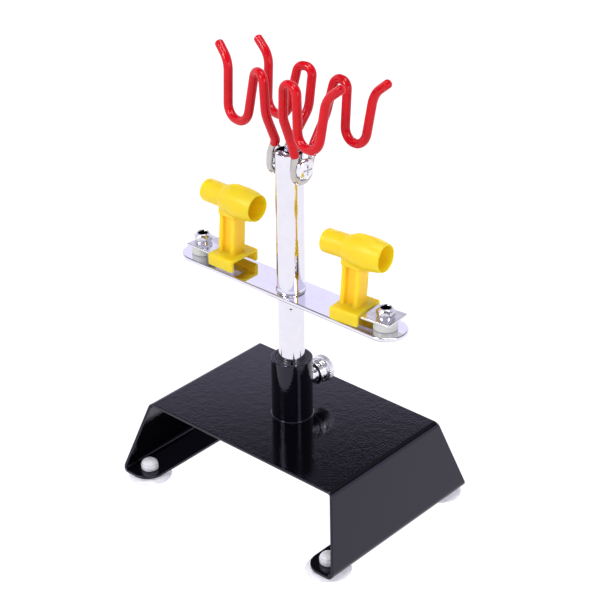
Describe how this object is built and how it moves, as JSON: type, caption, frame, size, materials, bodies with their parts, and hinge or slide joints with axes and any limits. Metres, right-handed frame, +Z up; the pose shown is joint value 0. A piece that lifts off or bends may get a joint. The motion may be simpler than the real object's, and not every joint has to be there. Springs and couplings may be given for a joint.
{
  "type": "airbrush holder stand",
  "caption": "Free-standing bench stand: bent base on suction feet, chrome column and cross bar, swivelling tubular rests and coated wire hooks for holding airbrushes.",
  "frame": {"origin": "on the floor under the middle of the base, which is the middle of the column", "axes": "+Z up the column, +X along the long side of the base and the cross bar, +Y to the side with the thumb screw"},
  "size_m": [0.1776, 0.1332, 0.2857],
  "materials": {
    "black_coat": "gloss powder coat, fine orange peel",
    "clear_pvc": "clear soft plastic",
    "black_plastic": "satin",
    "chrome_plate": "mirror",
    "plated_screw": "bright, knurled rim",
    "nickel_wire": "bright drawn wire",
    "red_vinyl": "high gloss dip coat",
    "yellow_plastic": "semi gloss, slightly translucent",
    "nylon": "milky satin",
    "zinc_steel": "bright zinc plate"
  },
  "bodies": {
    "base": {"base_plate": "black_coat", "foot_front_left": "clear_pvc", "foot_front_right": "clear_pvc", "foot_rear_left": "clear_pvc", "foot_rear_right": "clear_pvc", "collar_tube": "black_coat"},
    "bush": {"collar_bush": "black_plastic"},
    "column": {"lower_column_tube": "chrome_plate", "upper_column_tube": "chrome_plate", "cross_bar": "chrome_plate", "hook_bolt": "plated_screw", "hook_barrel_nut": "plated_screw", "east_spacer": "nylon", "east_end_bolt": "zinc_steel", "east_lock_nut": "zinc_steel", "west_spacer": "nylon", "west_end_bolt": "zinc_steel", "west_lock_nut": "zinc_steel"},
    "thumb_screw": {"thumb_screw": "plated_screw"},
    "east_rest": {"east_clamp_plate": "zinc_steel", "east_airbrush_rest": "yellow_plastic"},
    "west_rest": {"west_clamp_plate": "zinc_steel", "west_airbrush_rest": "yellow_plastic"},
    "east_hook": {"east_hook_wire": "nickel_wire", "east_hook_front_coating": "red_vinyl", "east_hook_rear_coating": "red_vinyl"},
    "west_hook": {"west_hook_wire": "nickel_wire", "west_hook_front_coating": "red_vinyl", "west_hook_rear_coating": "red_vinyl"}
  },
  "joints": [
    {"name": "column_turn", "type": "hinge", "parent": "base", "child": "bush", "pos_m": [0, 0, 0.072], "axis": [0, 0, 1], "continuous": true},
    {"name": "column_height", "type": "slide", "parent": "bush", "child": "column", "axis": [0, 0, 1], "range_m": [0, 0.025]},
    {"name": "thumb_screw_turn", "type": "hinge", "parent": "base", "child": "thumb_screw", "pos_m": [0, 0.0131, 0.0713], "axis": [0, 1, 0], "range_deg": [0, 720]},
    {"name": "east_rest_swivel", "type": "hinge", "parent": "column", "child": "east_rest", "pos_m": [0.0725, 0, 0.1465], "axis": [0, 0, 1], "continuous": true},
    {"name": "west_rest_swivel", "type": "hinge", "parent": "column", "child": "west_rest", "pos_m": [-0.0725, 0, 0.1465], "axis": [0, 0, 1], "continuous": true},
    {"name": "east_hook_tilt", "type": "hinge", "parent": "column", "child": "east_hook", "pos_m": [0, 0, 0.219], "axis": [0.9903, -0.1392, 0], "range_deg": [-14, 30]},
    {"name": "west_hook_tilt", "type": "hinge", "parent": "column", "child": "west_hook", "pos_m": [0, 0, 0.219], "axis": [0.9903, -0.1392, 0], "range_deg": [-14, 30]}
  ]
}
